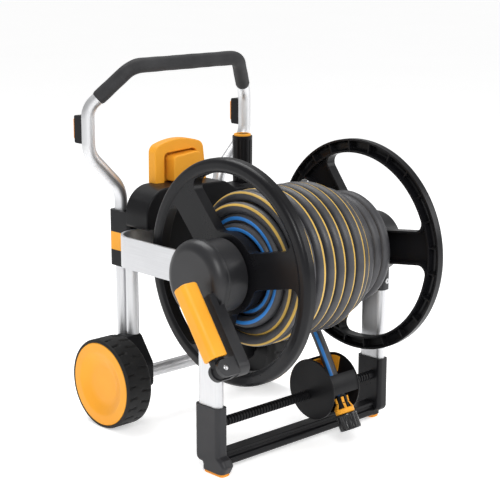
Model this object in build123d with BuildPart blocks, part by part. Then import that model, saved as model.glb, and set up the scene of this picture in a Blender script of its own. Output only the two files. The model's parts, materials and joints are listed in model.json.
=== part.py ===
from build123d import *
from math import cos, pi, radians, sin, tan
import os

# Garden hose reel cart. Millimetres, +Z up, +Y towards the handle, -X is the crank's side.
# The origin is on the floor under the middle of the whole cart.
MIDDLE_X = 25.75
REEL_Y = -97.15
REEL_Z = 351.0

# reel
FLANGE_R = 200.0
RIM_WIDTH = 25.0
FLANGE_OUTER_X = 176.0
FLANGE_INNER_X = 156.0
PLATE_RECESS = 4.0
PLATE_THICK = 4.0
RIM_WALL = 5.0
WINDOW_WALL_DEPTH = 20.0
SPOKE_WIDTH = 62.0
SPOKE_START = 12.0
RIGHT_SPOKE_START = 7.0
HUB_R = 72.0
WALL = 3.5
DRUM_R = 64.0
SHAFT_R = 15.0
SHAFT_BORE_R = 9.0
RUNNING = 0.05
GAP = 0.3

# crank
CRANK_ANGLE = -55.0
CRANK_REACH = 166.0
CRANK_OFFSET = 23.0
CRANK_OUTER_X = 262.0
ARM_INNER_X = 239.0
DOME_OUTER_X = 252.0
CRANK_INNER_X = 228.0
DOME_R = 70.0
ARM_WIDTH = 34.0
GRIP_X = 288.0
GRIP_START = 20.5
GRIP_LENGTH = 133.0
GRIP_SIDE = 35.0

# frame
LEG_X = 210.0
LEG_Y = -2.0
LEG_LONG = 54.0
LEG_THICK = 20.0
LEG_FOOT_Z = 40.0
LEG_TOP_Z = 318.0
BOOT_INNER_X = 197.0
STRIP_LOW_Z = 321.0
STRIP_HIGH_Z = 380.0
STRIP_THICK = 4.5
STRIP_X = 197.75
STRIP_REAR_Y = 288.0
TUBE_R = 12.5
UPRIGHT_X = 125.0
UPRIGHT_Y = 320.0
HANDLE_Y = 349.7
CLAMP_LOW_Z = 300.0
BAND_LOW_Z = 331.0
BAND_HIGH_Z = 366.0
CLAMP_HIGH_Z = 408.0

# wheels
WHEEL_Y = 307.7
WHEEL_R = 86.6
WHEEL_INNER_X = 158.0
WHEEL_OUTER_X = 217.0
AXLE_R = 8.0

# hose and its guide
HOSE_R = 10.0
ROD_Y = -10.0
ROD_Z = 89.0
ROD_R = 9.0
GUIDE_Y = -21.0
GUIDE_Z = 102.0
GUIDE_R = 57.0
GUIDE_LEFT_X = 20.0
GUIDE_RIGHT_X = 90.0

os.makedirs("parts", exist_ok=True)


def at(x, y, z):
    """A point given from the cart's middle plane, the reel's axis and the floor."""
    return (MIDDLE_X + x, REEL_Y + y, z)


def facing_side(x, y, z):
    """A plane across X: local x runs to the front, local y up, and its normal to -X."""
    return Plane(origin=at(x, y, z), x_dir=(0, -1, 0), z_dir=(-1, 0, 0))


def facing_front(y):
    """A plane across Y: local x is X, local y is Z, and its normal points to the front."""
    return Plane(origin=at(0, y, 0), x_dir=(1, 0, 0), z_dir=(0, -1, 0))


def level(z):
    """A horizontal plane with the middle plane and the reel's axis as its local zero."""
    return Plane(origin=at(0, 0, z))


MIDDLE_PLANE = Plane(origin=at(0, 0, 0), x_dir=(0, 1, 0), z_dir=(1, 0, 0))


def save(name, piece):
    piece.label = name
    export_step(piece, f"parts/{name}.step")


def other_side(piece):
    """The same piece mirrored to the cart's right side."""
    with BuildPart() as mirrored:
        mirror(piece, about=MIDDLE_PLANE)
    return mirrored.part


def save_both(name, piece):
    """Saves a piece of the left side and its mirror image as one node of two solids."""
    with BuildPart() as both:
        add(piece)
        mirror(piece, about=MIDDLE_PLANE)
    save(name, both.part)


def save_pair(name, piece):
    """Saves a piece of the left side and its mirror image."""
    save(f"{name}_left", piece)
    save(f"{name}_right", other_side(piece))


def lathe(profile, radii, y, z):
    """Turns a closed outline of (x, radius) points about the line along X through (y, z)."""
    centre = Plane(origin=at(0, y, z), x_dir=(1, 0, 0), z_dir=(0, -1, 0))
    with BuildPart() as turned:
        with BuildSketch(centre):
            with BuildLine():
                FilletPolyline(*profile, radius=radii, close=True)
            make_face()
        revolve(axis=Axis(centre.origin, (1, 0, 0)))
    return turned.part


def ring(x_low, x_high, inner, outer, y, z):
    """A plain sleeve along X."""
    with BuildPart() as sleeve:
        with BuildSketch(facing_side(x_high, y, z)):
            Circle(outer)
            if inner > 0:
                Circle(inner, mode=Mode.SUBTRACT)
        extrude(amount=x_high - x_low)
    return sleeve.part


# ---------------------------------------------------------------- reel


def reel_flange(spoke_start):
    """The left flange: a ribbed channel rim, three box spokes open towards the hose, and a hub."""
    plate_x = FLANGE_OUTER_X - PLATE_RECESS
    rim_inner_r = FLANGE_R - RIM_WIDTH
    with BuildSketch(facing_side(-plate_x, 0, REEL_Z)) as windows:
        Circle(rim_inner_r)
        Circle(HUB_R, mode=Mode.SUBTRACT)
        with PolarLocations(0, 3, start_angle=spoke_start):
            Rectangle(FLANGE_R, SPOKE_WIDTH, align=(Align.MIN, Align.CENTER), mode=Mode.SUBTRACT)
        fillet(windows.vertices(), radius=15)
    with BuildSketch(facing_side(-plate_x, 0, REEL_Z)) as walls:
        add(windows.sketch_local)
        offset(amount=WALL)
    with BuildPart() as flange:
        with BuildSketch(facing_side(-plate_x, 0, REEL_Z)):
            Circle(rim_inner_r + WALL)
        extrude(amount=-PLATE_THICK)
        extrude(walls.sketch, amount=-WINDOW_WALL_DEPTH)
        with BuildSketch(Plane(origin=at(0, 0, REEL_Z), x_dir=(1, 0, 0), z_dir=(0, -1, 0))) as rim:
            with Locations((-(FLANGE_OUTER_X + FLANGE_INNER_X) / 2, FLANGE_R - RIM_WIDTH / 2)):
                Rectangle(FLANGE_OUTER_X - FLANGE_INNER_X, RIM_WIDTH)
            fillet(rim.vertices().group_by(Axis.X)[0], radius=9)
        revolve(axis=Axis(at(0, 0, REEL_Z), (1, 0, 0)))
        with BuildSketch(Plane(origin=at(0, 0, REEL_Z), x_dir=(1, 0, 0), z_dir=(0, -1, 0))) as channel:
            with Locations((-FLANGE_INNER_X, FLANGE_R - RIM_WIDTH / 2)):
                Rectangle(2 * (FLANGE_OUTER_X - RIM_WALL - FLANGE_INNER_X), RIM_WIDTH - 2 * WALL)
            fillet(channel.vertices().group_by(Axis.X)[0], radius=5)
        revolve(axis=Axis(at(0, 0, REEL_Z), (1, 0, 0)), mode=Mode.SUBTRACT)
        with BuildSketch(facing_side(-FLANGE_INNER_X - 3, 0, REEL_Z)):
            with PolarLocations(FLANGE_R - RIM_WIDTH / 2, 24, start_angle=spoke_start):
                Rectangle(RIM_WIDTH - 2 * WALL + 1, 3)
        extrude(amount=FLANGE_OUTER_X - FLANGE_INNER_X - 6)
        extrude(windows.sketch, amount=-40, mode=Mode.SUBTRACT)
        with BuildSketch(facing_side(-plate_x, 0, REEL_Z)):
            Circle(SHAFT_R + 9)
        extrude(amount=-24)
        with BuildSketch(facing_side(-plate_x, 0, REEL_Z)):
            Circle(SHAFT_R)
        extrude(amount=-24, mode=Mode.SUBTRACT)
    return flange.part


save("reel_flange_left", reel_flange(SPOKE_START))
save("reel_flange_right", other_side(reel_flange(RIGHT_SPOKE_START)))

DRUM_HALF = FLANGE_OUTER_X - PLATE_RECESS - PLATE_THICK
DRUM_WALL = 3.0
FITTING_X = 132.0
FITTING_R = 9.0

# the fitting brings the water from the hollow shaft to the hose's first turn
with BuildPart() as drum_fitting:
    with BuildSketch(Plane(origin=at(FITTING_X, 0, REEL_Z), x_dir=(1, 0, 0), z_dir=(0, 0, -1))):
        Circle(FITTING_R)
    extrude(amount=DRUM_R - 1)
    with BuildSketch(Plane(origin=at(FITTING_X, 0, REEL_Z), x_dir=(1, 0, 0), z_dir=(0, 0, -1))):
        Circle(FITTING_R + 4)
    extrude(amount=DRUM_R - 10)
    add(ring(-DRUM_HALF, DRUM_HALF, 0, SHAFT_R, 0, REEL_Z), mode=Mode.SUBTRACT)
save("drum_fitting", drum_fitting.part)

with BuildPart() as reel_drum:
    add(ring(-DRUM_HALF, DRUM_HALF, DRUM_R - DRUM_WALL, DRUM_R, 0, REEL_Z))
    with BuildSketch(Plane(origin=at(FITTING_X, 0, REEL_Z), x_dir=(1, 0, 0), z_dir=(0, 0, -1))):
        Circle(FITTING_R)
    extrude(amount=DRUM_R + 5, mode=Mode.SUBTRACT)
save("reel_drum", reel_drum.part)

SHAFT_LEFT_X = 246.0
SHAFT_RIGHT_X = 224.0
save("reel_shaft", ring(-SHAFT_LEFT_X, SHAFT_RIGHT_X, SHAFT_BORE_R, SHAFT_R, 0, REEL_Z))

# the wound hose: its outer shape swells at the crank's side and thins towards the water inlet
COIL_PROFILE = [
    (-146, DRUM_R + GAP), (-146, 96), (-137, 120), (-124, 138), (22, 138),
    (50, 128), (90, 118), (122, 109), (146, 106), (146, DRUM_R + GAP),
]
COIL_ROUNDING = [0, 4, 6, 10, 60, 60, 60, 20, 6, 0]
save("hose_coil", lathe(COIL_PROFILE, COIL_ROUNDING, 0, REEL_Z))

# ---------------------------------------------------------------- crank

ALONG = (cos(radians(CRANK_ANGLE)), sin(radians(CRANK_ANGLE)))
ACROSS = (-ALONG[1], ALONG[0])
PIVOT_FRONT = ALONG[0] * CRANK_REACH + ACROSS[0] * CRANK_OFFSET
PIVOT_UP = ALONG[1] * CRANK_REACH + ACROSS[1] * CRANK_OFFSET
PIVOT = at(-GRIP_X, -PIVOT_FRONT, REEL_Z + PIVOT_UP)
PIN_AXIS = (0, -ACROSS[0], ACROSS[1])
GRIP_AXIS = (0, ALONG[0], -ALONG[1])
FORK_R = 15.0
FORK_HALF = 15.0
TONGUE_HALF = 7.0
PIN_R = 3.0


def fork_plane(distance):
    """A plane across the grip's hinge pin: local x runs outwards along -X, local y down the arm."""
    origin = [PIVOT[i] + PIN_AXIS[i] * distance for i in range(3)]
    return Plane(origin=origin, x_dir=(-1, 0, 0), z_dir=PIN_AXIS)


def grip_plane(distance):
    """A plane across the folded grip, a distance from its hinge pin."""
    origin = [PIVOT[i] + GRIP_AXIS[i] * distance for i in range(3)]
    return Plane(origin=origin, x_dir=(1, 0, 0), z_dir=GRIP_AXIS)


ARM_START = 62.0


def arm_point(distance):
    """A point on the arm's middle line, a distance along it from the reel's axis."""
    return (ALONG[0] * distance + ACROSS[0] * CRANK_OFFSET, ALONG[1] * distance + ACROSS[1] * CRANK_OFFSET)


def crank_arm():
    """Domed hub and arm in one moulding, ending in the fork that holds the folding grip."""
    dome = [
        (-DOME_OUTER_X, 0), (-DOME_OUTER_X, DOME_R), (-CRANK_INNER_X, DOME_R), (-CRANK_INNER_X, 66),
        (-SHAFT_LEFT_X, 66), (-SHAFT_LEFT_X, 22), (-CRANK_INNER_X, 22), (-CRANK_INNER_X, SHAFT_R),
        (-SHAFT_LEFT_X, SHAFT_R), (-SHAFT_LEFT_X, 0),
    ]
    with BuildPart() as arm:
        add(lathe(dome, [0, 20, 0, 0, 14, 3, 0, 0, 0, 0], 0, REEL_Z))
        with BuildSketch(facing_side(-ARM_INNER_X, 0, REEL_Z)):
            with Locations(arm_point((CRANK_REACH + ARM_START) / 2)):
                Rectangle(CRANK_REACH - ARM_START, ARM_WIDTH, rotation=CRANK_ANGLE)
            with Locations((PIVOT_FRONT, PIVOT_UP)):
                Circle(ARM_WIDTH / 2)
        extrude(amount=CRANK_OUTER_X - ARM_INNER_X)
        with BuildSketch(facing_side(-SHAFT_LEFT_X - 3, 0, REEL_Z)):
            with Locations(arm_point(ARM_START - 10)):
                Rectangle(24, ARM_WIDTH, rotation=CRANK_ANGLE)
        extrude(amount=CRANK_OUTER_X - SHAFT_LEFT_X - 3)
        with BuildSketch(fork_plane(-FORK_HALF)):
            with Locations(((CRANK_OUTER_X - GRIP_X) / 2, 0)):
                Rectangle(GRIP_X - CRANK_OUTER_X, 2 * FORK_R)
            Circle(FORK_R)
        extrude(amount=2 * FORK_HALF)
        with BuildSketch(fork_plane(-TONGUE_HALF - GAP)):
            with Locations((2, 0)):
                Rectangle(36, 4 * FORK_R)
        extrude(amount=2 * (TONGUE_HALF + GAP), mode=Mode.SUBTRACT)
        with BuildSketch(fork_plane(-FORK_HALF)):
            Circle(PIN_R)
        extrude(amount=2 * FORK_HALF, mode=Mode.SUBTRACT)
    return arm.part


save("crank_arm", crank_arm())

with BuildPart() as grip_hinge_pin:
    with BuildSketch(fork_plane(-FORK_HALF)):
        Circle(PIN_R)
    extrude(amount=2 * FORK_HALF)
save("grip_hinge_pin", grip_hinge_pin.part)

SPINDLE_R = 8.0
SPINDLE_END = 144.0
with BuildPart() as grip_knuckle:
    with BuildSketch(fork_plane(-TONGUE_HALF)):
        Circle(13)
        with Locations((0, -GRIP_START / 2)):
            Rectangle(22, GRIP_START)
    extrude(amount=2 * TONGUE_HALF)
    with BuildSketch(grip_plane(GRIP_START - GAP - 3)):
        Circle(12)
    extrude(amount=3)
    with BuildSketch(grip_plane(GRIP_START - GAP)):
        Circle(SPINDLE_R)
    extrude(amount=SPINDLE_END - GRIP_START + GAP)
    with BuildSketch(fork_plane(-TONGUE_HALF)):
        Circle(PIN_R + RUNNING)
    extrude(amount=2 * TONGUE_HALF, mode=Mode.SUBTRACT)
save("grip_knuckle", grip_knuckle.part)

with BuildPart() as crank_grip:
    with BuildSketch(grip_plane(GRIP_START)):
        RectangleRounded(GRIP_SIDE, GRIP_SIDE, 11)
    extrude(amount=GRIP_LENGTH)
    fillet(crank_grip.faces().sort_by(Axis(PIVOT, GRIP_AXIS))[0].edges(), radius=3)
    fillet(crank_grip.faces().sort_by(Axis(PIVOT, GRIP_AXIS))[-1].edges(), radius=5)
    with BuildSketch(grip_plane(GRIP_START)):
        Circle(SPINDLE_R + RUNNING)
    extrude(amount=SPINDLE_END - GRIP_START + 2, mode=Mode.SUBTRACT)
    with BuildSketch(grip_plane(SPINDLE_END + 2)):
        Circle(11)
    extrude(amount=20, mode=Mode.SUBTRACT)
save("crank_grip", crank_grip.part)

with BuildPart() as grip_cap:
    with BuildSketch(grip_plane(SPINDLE_END + 2)):
        Circle(11)
    extrude(amount=GRIP_START + GRIP_LENGTH - SPINDLE_END - 3)
save("grip_cap", grip_cap.part)

# ---------------------------------------------------------------- hubs, legs and boots

HOUSING_INNER_X = 180.0
HOUSING_OUTER_X = 226.0
BUSH_R = 19.0


def hub_housing(radius):
    """Fixed hub on the left leg: a drum-shaped moulding with sockets for the leg and the side arm."""
    with BuildPart() as housing:
        with BuildSketch(facing_side(-HOUSING_INNER_X, 0, REEL_Z)):
            Circle(radius)
        extrude(amount=HOUSING_OUTER_X - HOUSING_INNER_X)
        fillet(housing.faces().sort_by(Axis.X)[0].edges(), radius=8)
        with BuildSketch(level(260)):
            with Locations((-LEG_X, LEG_Y)):
                RectangleRounded(LEG_THICK + 8, LEG_LONG + 8, 11)
        extrude(amount=45)
        with BuildSketch(level(255)):
            with Locations((-LEG_X, LEG_Y)):
                SlotOverall(LEG_LONG, LEG_THICK, rotation=90)
        extrude(amount=LEG_TOP_Z - 255, mode=Mode.SUBTRACT)
        with BuildSketch(level(STRIP_LOW_Z)):
            with Locations((-STRIP_X, 26)):
                Rectangle(STRIP_THICK, 100, align=(Align.CENTER, Align.MIN))
        extrude(amount=STRIP_HIGH_Z - STRIP_LOW_Z, mode=Mode.SUBTRACT)
        with BuildSketch(facing_side(-HOUSING_INNER_X, 0, REEL_Z)):
            Circle(radius - 5)
            Circle(BUSH_R + 6, mode=Mode.SUBTRACT)
        extrude(amount=10, mode=Mode.SUBTRACT)
        with BuildSketch(facing_side(-HOUSING_INNER_X, 0, REEL_Z)):
            Circle(BUSH_R)
        extrude(amount=HOUSING_OUTER_X - HOUSING_INNER_X, mode=Mode.SUBTRACT)
    return housing.part


save("hub_housing_left", hub_housing(64))
save("hub_housing_right", other_side(hub_housing(58)))
save_both("hub_bushes", ring(-HOUSING_OUTER_X, -HOUSING_INNER_X, SHAFT_R + RUNNING, BUSH_R, 0, REEL_Z))

with BuildPart() as front_leg:
    with BuildSketch(level(LEG_FOOT_Z)):
        with Locations((-LEG_X, LEG_Y)):
            SlotOverall(LEG_LONG, LEG_THICK, rotation=90)
            SlotOverall(LEG_LONG - 4, LEG_THICK - 4, rotation=90, mode=Mode.SUBTRACT)
    extrude(amount=LEG_TOP_Z - LEG_FOOT_Z)
save_pair("front_leg", front_leg.part)

# one screw through the front of each hub's leg socket
SCREW_Z = 278.0
socket_face = LEG_Y - LEG_LONG / 2 - 4
with BuildPart() as leg_screws:
    for side in (-1, 1):
        with BuildSketch(Plane(origin=at(side * LEG_X, socket_face, SCREW_Z), z_dir=(0, -1, 0))):
            Circle(5)
        extrude(amount=2.4)
        with BuildSketch(Plane(origin=at(side * LEG_X, socket_face - 2.4, SCREW_Z), z_dir=(0, 1, 0))):
            RegularPolygon(2.4, 6)
        extrude(amount=1.6, mode=Mode.SUBTRACT)
save("leg_screws", leg_screws.part)

BOOT_TOP_Z = 123.0
SOLE_Z = 6.0
BOOT_WIDTH = 2 * (LEG_X - BOOT_INNER_X)
BOOT_LONG = 60.0
SOLE_LONG = 50.0
SOLE_SHIFT = 14.0
BOOT_SIDE = [
    (-30, BOOT_TOP_Z), (-30, 17), (-12, 17), (-12, SOLE_Z), (40, SOLE_Z), (48, 20), (40, 31), (30, 36),
    (30, BOOT_TOP_Z),
]
BOOT_ROUNDING = [0, 12, 3, 0, 0, 4, 4, 3, 0]


def leg_boot(toe):
    """The left boot. Its toe points to the front where toe is 1, and to the rear where it is -1."""
    with BuildPart() as boot:
        with BuildSketch(level(SOLE_Z)):
            with Locations((-LEG_X, LEG_Y)):
                RectangleRounded(BOOT_WIDTH, 2 * BOOT_LONG, 9)
        extrude(amount=BOOT_TOP_Z - SOLE_Z)
        with BuildSketch(facing_side(0, LEG_Y, 0)):
            with BuildLine():
                FilletPolyline(*[(toe * x, z) for x, z in BOOT_SIDE], radius=BOOT_ROUNDING, close=True)
            make_face()
        extrude(amount=2 * LEG_X, mode=Mode.INTERSECT)
        upright_edges = boot.edges().filter_by(Axis.Z).filter_by(lambda edge: edge.length > 60)
        fillet(upright_edges, radius=8)
        with BuildSketch(level(LEG_FOOT_Z)):
            with Locations((-LEG_X, LEG_Y)):
                SlotOverall(LEG_LONG, LEG_THICK, rotation=90)
        extrude(amount=100, mode=Mode.SUBTRACT)
    return boot.part


def foot_sole(toe):
    """The left boot's sole, shifted towards the boot's toe."""
    with BuildPart() as sole:
        with BuildSketch(level(0)):
            with Locations((-LEG_X, LEG_Y - toe * SOLE_SHIFT)):
                RectangleRounded(BOOT_WIDTH - 4, SOLE_LONG, 8)
        extrude(amount=SOLE_Z)
        chamfer(sole.faces().sort_by(Axis.Z)[0].edges(), length=1.5)
    return sole.part


save("leg_boot_left", leg_boot(1))
save("leg_boot_right", other_side(leg_boot(-1)))
with BuildPart() as foot_soles:
    add(foot_sole(1))
    add(other_side(foot_sole(-1)))
save("foot_soles", foot_soles.part)

# the crossbar's front is grooved, so that it reads as a lip above a rounded rail
CROSSBAR_FRONT = 20.0
with BuildPart() as crossbar:
    with BuildSketch(facing_side(BOOT_INNER_X, 0, 0)):
        with BuildLine():
            FilletPolyline(
                (CROSSBAR_FRONT, 8), (CROSSBAR_FRONT + 1, 21), (CROSSBAR_FRONT - 5, 23),
                (CROSSBAR_FRONT - 5, 29), (CROSSBAR_FRONT, 31), (CROSSBAR_FRONT, 36), (-5, 36), (-5, 8),
                radius=[6, 3, 2, 2, 1.5, 1.5, 3, 6], close=True,
            )
        make_face()
    extrude(amount=2 * BOOT_INNER_X)
save("crossbar", crossbar.part)

save("guide_rod", ring(-BOOT_INNER_X, BOOT_INNER_X, 0, ROD_R, ROD_Y, ROD_Z))

# ---------------------------------------------------------------- side arms and rear frame

with BuildPart() as side_arm:
    with BuildLine(level((STRIP_LOW_Z + STRIP_HIGH_Z) / 2)):
        FilletPolyline((-STRIP_X, 26), (-STRIP_X, STRIP_REAR_Y), (-84, STRIP_REAR_Y), radius=50)
    start = at(-STRIP_X, 26, (STRIP_LOW_Z + STRIP_HIGH_Z) / 2)
    with BuildSketch(Plane(origin=start, x_dir=(1, 0, 0), z_dir=(0, 1, 0))):
        Rectangle(STRIP_THICK, STRIP_HIGH_Z - STRIP_LOW_Z)
    sweep()
save_pair("side_arm", side_arm.part)

UPRIGHT_LOW_Z = 104.0
with BuildPart() as upright:
    with BuildSketch(level(UPRIGHT_LOW_Z)):
        with Locations((-UPRIGHT_X, UPRIGHT_Y)):
            Circle(TUBE_R)
            Circle(TUBE_R - 1.5, mode=Mode.SUBTRACT)
    extrude(amount=CLAMP_HIGH_Z - 3 - UPRIGHT_LOW_Z)
save_both("upright_tubes", upright.part)

CLAMP_HALF = 18.0
CLAMP_FRONT_Y = 303.0
CLAMP_REAR_Y = 366.0
LOBE_X = 88.0
LOBE_FRONT_Y = 318.0
PIN_Z = 387.0
LOCK_PIN_R = 5.0


def clamp_block(low, high, has_lobe):
    """One layer of the clamp that joins an upright, a handle tube and the rear housing."""
    with BuildPart() as block:
        with BuildSketch(level(low)):
            with Locations((-UPRIGHT_X, (CLAMP_FRONT_Y + CLAMP_REAR_Y) / 2)):
                RectangleRounded(2 * CLAMP_HALF, CLAMP_REAR_Y - CLAMP_FRONT_Y, 9)
            if has_lobe:
                with Locations(((-UPRIGHT_X - LOBE_X) / 2, (LOBE_FRONT_Y + CLAMP_REAR_Y) / 2)):
                    RectangleRounded(UPRIGHT_X - LOBE_X, CLAMP_REAR_Y - LOBE_FRONT_Y, 5)
            with Locations((-UPRIGHT_X, UPRIGHT_Y)):
                Circle(TUBE_R, mode=Mode.SUBTRACT)
            with Locations((-UPRIGHT_X, HANDLE_Y)):
                Circle(TUBE_R + RUNNING, mode=Mode.SUBTRACT)
        extrude(amount=high - low)
        if has_lobe:
            with BuildSketch(facing_side(-LOBE_X, HANDLE_Y, PIN_Z)):
                Circle(LOCK_PIN_R + RUNNING)
            extrude(amount=UPRIGHT_X - LOBE_X, mode=Mode.SUBTRACT)
    return block.part


save_both("lower_clamps", clamp_block(CLAMP_LOW_Z, BAND_LOW_Z, False))
save_both("clamp_bands", clamp_block(BAND_LOW_Z, BAND_HIGH_Z, False))
save_both("upper_clamps", clamp_block(BAND_HIGH_Z, CLAMP_HIGH_Z, True))

lock_tip_x = UPRIGHT_X - TUBE_R - GAP - RUNNING
save_pair("lock_pin", ring(-lock_tip_x, -LOBE_X - 6, 0, LOCK_PIN_R, HANDLE_Y, PIN_Z))

AXLE_TUBE_R = 13.0
BRACKET_HALF = 18.0
BRACKET_X = 135.0
with BuildPart() as axle_bracket:
    with BuildSketch(facing_side(-BRACKET_X + BRACKET_HALF, WHEEL_Y, 0)):
        with BuildLine():
            FilletPolyline(
                (-27, 168), (2, 168), (38, 118), (38, 74), (20, 62), (-20, 62), (-27, 80),
                radius=[3, 12, 14, 12, 10, 12, 8], close=True,
            )
        make_face()
    extrude(amount=2 * BRACKET_HALF)
    fillet(axle_bracket.faces().sort_by(Axis.X)[0].edges(), radius=2.5)
    with BuildSketch(level(UPRIGHT_LOW_Z)):
        with Locations((-UPRIGHT_X, UPRIGHT_Y)):
            Circle(TUBE_R)
    extrude(amount=100, mode=Mode.SUBTRACT)
    with BuildSketch(facing_side(0, WHEEL_Y, WHEEL_R)):
        Circle(AXLE_TUBE_R)
    extrude(amount=200, mode=Mode.SUBTRACT)
save_both("axle_brackets", axle_bracket.part)

bracket_outer = BRACKET_X + BRACKET_HALF
save("axle_tube", ring(-bracket_outer, bracket_outer, AXLE_R, AXLE_TUBE_R, WHEEL_Y, WHEEL_R))

# ---------------------------------------------------------------- wheels

AXLE_END_X = 203.0
save("wheel_axle", ring(-AXLE_END_X, AXLE_END_X, 0, AXLE_R, WHEEL_Y, WHEEL_R))

TYRE_INNER_R = 70.0
HUB_OUTER_X = 196.0
TYRE = [
    (-WHEEL_OUTER_X, 80.5), (-WHEEL_OUTER_X, WHEEL_R), (-WHEEL_INNER_X, WHEEL_R),
    (-WHEEL_INNER_X, TYRE_INNER_R), (-WHEEL_OUTER_X + 9, TYRE_INNER_R), (-WHEEL_OUTER_X + 9, 80.5),
]
save_pair("tyre", lathe(TYRE, [0, 5, 8, 3, 0, 0], WHEEL_Y, WHEEL_R))

CORE = [
    (-HUB_OUTER_X, AXLE_R + RUNNING), (-HUB_OUTER_X, 17), (-186, 17), (-186, TYRE_INNER_R - 4),
    (-208, TYRE_INNER_R - 4), (-208, TYRE_INNER_R), (-161, TYRE_INNER_R), (-161, TYRE_INNER_R - 4),
    (-181, TYRE_INNER_R - 4), (-181, 17), (-159, 17), (-159, AXLE_R + RUNNING),
]
save_pair("wheel_core", lathe(CORE, [0, 0, 3, 3, 0, 0, 0, 0, 3, 3, 0, 0], WHEEL_Y, WHEEL_R))

DISC = [
    (-207, 0), (-207, 40), (-WHEEL_OUTER_X, 62), (-WHEEL_OUTER_X, 80.2),
    (-208.3, 80.2), (-208.3, 65), (-204, 42), (-204, 0),
]
save_pair("wheel_disc", lathe(DISC, [0, 30, 12, 2, 0, 5, 20, 0], WHEEL_Y, WHEEL_R))

# a push-on washer at each end of the axle holds the wheel
with BuildPart() as axle_washers:
    add(ring(-AXLE_END_X + 2, -HUB_OUTER_X - GAP, AXLE_R, 13, WHEEL_Y, WHEEL_R))
    add(ring(HUB_OUTER_X + GAP, AXLE_END_X - 2, AXLE_R, 13, WHEEL_Y, WHEEL_R))
save("axle_washers", axle_washers.part)

# ---------------------------------------------------------------- rear housing, arch and release button

HOUSING_FRONT_Y = 240.0
HOUSING_BACK_Y = 314.0
SHOULDER_BACK_Y = 303.0
HOUSING_TOP = 456.0
SOCKET_TOP = 438.0
NOZZLE_X = 137.0
SOCKET_SIDE_X = 104.0
NOZZLE_Y = 290.0
ARCH_BACK_Y = 309.0
ARCH_THICK = 20.0
ARCH_BACK_WALL = 3.0

with BuildPart() as arch_grip:
    with BuildSketch(facing_front(ARCH_BACK_Y)):
        with BuildLine():
            Line((-89, 444), (-88, 528))
            RadiusArc((-88, 528), (32, 528), 150)
            Line((32, 528), (42, 444))
            Line((42, 444), (-89, 444))
        make_face()
    extrude(amount=ARCH_THICK)
    top_corners = arch_grip.edges().filter_by(Axis.Y).group_by(Axis.Z)[-1]
    fillet(top_corners, radius=17)
    with BuildSketch(facing_front(ARCH_BACK_Y - ARCH_BACK_WALL)):
        with BuildLine():
            FilletPolyline((-66, 430), (-65, 515), (14, 518.5), (19, 430), radius=[0, 10, 10, 0], close=True)
        make_face()
    extrude(amount=ARCH_THICK, mode=Mode.SUBTRACT)
    fillet(arch_grip.faces().sort_by(Axis.Y)[0].edges().sort_by(Axis.Z)[4:], radius=2.5)
save("arch_grip", arch_grip.part)

HOUSING_OUTLINE = [
    (-98, 290), (98, 290), (98, 384), (150, 384), (150, SOCKET_TOP), (75, SOCKET_TOP),
    (45, HOUSING_TOP), (-150, HOUSING_TOP + 6), (-150, 384), (-98, 384),
]
HOUSING_ROUNDING = [8, 8, 4, 6, 10, 20, 20, 52, 6, 4]
BUTTON_LEFT = -55.0
BUTTON_RIGHT = 13.0
BUTTON_LOW = HOUSING_TOP + 5.0
STEM_X = -24.0
STEM_HALF = 6.0
STEM_FRONT_Y = 280.0
STEM_BACK_Y = 289.0
BUTTON_TRAVEL = 8.0
BUTTON_BACK_Y = 297.0
BUTTON_DEEP = 25.0

with BuildPart() as rear_housing:
    with BuildSketch(facing_front(SHOULDER_BACK_Y)) as outline:
        with BuildLine():
            FilletPolyline(*HOUSING_OUTLINE, radius=HOUSING_ROUNDING, close=True)
        make_face()
    extrude(amount=SHOULDER_BACK_Y - HOUSING_FRONT_Y)
    fillet(rear_housing.faces().sort_by(Axis.Y)[0].edges(), radius=3)
    with BuildSketch(facing_front(HOUSING_BACK_Y)):
        with Locations((0, 290)):
            Rectangle(196, HOUSING_TOP - 290, align=(Align.CENTER, Align.MIN))
        with Locations((98, HOUSING_TOP)):
            Rectangle(120, 2 * (HOUSING_TOP - SOCKET_TOP), mode=Mode.SUBTRACT)
    extrude(amount=HOUSING_BACK_Y - SHOULDER_BACK_Y + 4)
    with BuildSketch(facing_front(HOUSING_BACK_Y)):
        with Locations((0, 290 + WALL)):
            Rectangle(196 - 2 * WALL, SOCKET_TOP - 290 - 2 * WALL, align=(Align.CENTER, Align.MIN))
    extrude(amount=HOUSING_BACK_Y - HOUSING_FRONT_Y - WALL, mode=Mode.SUBTRACT)
    with BuildSketch(level(SOCKET_TOP - 30)):
        with Locations((NOZZLE_X, NOZZLE_Y)):
            Circle(20)
    extrude(amount=30)
    with BuildSketch(level(SOCKET_TOP - 28)):
        with Locations((NOZZLE_X, NOZZLE_Y)):
            Circle(9 + RUNNING)
    extrude(amount=40, mode=Mode.SUBTRACT)
    with BuildSketch(level(SOCKET_TOP - 10)):
        with Locations((STEM_X, STEM_FRONT_Y - 1)):
            Rectangle(2 * STEM_HALF + 1, STEM_BACK_Y + BUTTON_TRAVEL + 2 - STEM_FRONT_Y,
                      align=(Align.CENTER, Align.MIN))
    extrude(amount=60, mode=Mode.SUBTRACT)
    for side in (-1, 1):
        with BuildSketch(level(STRIP_LOW_Z)):
            with Locations((side * 90, STRIP_REAR_Y)):
                Rectangle(20, STRIP_THICK)
        extrude(amount=STRIP_HIGH_Z - STRIP_LOW_Z, mode=Mode.SUBTRACT)
    with BuildSketch(level(384)):
        with Locations((SOCKET_SIDE_X, HOUSING_FRONT_Y)):
            Rectangle(80, 26, align=(Align.MIN, Align.MIN))
    extrude(amount=80, mode=Mode.SUBTRACT)
    add(arch_grip.part, mode=Mode.SUBTRACT)
save("rear_housing", rear_housing.part)

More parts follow.
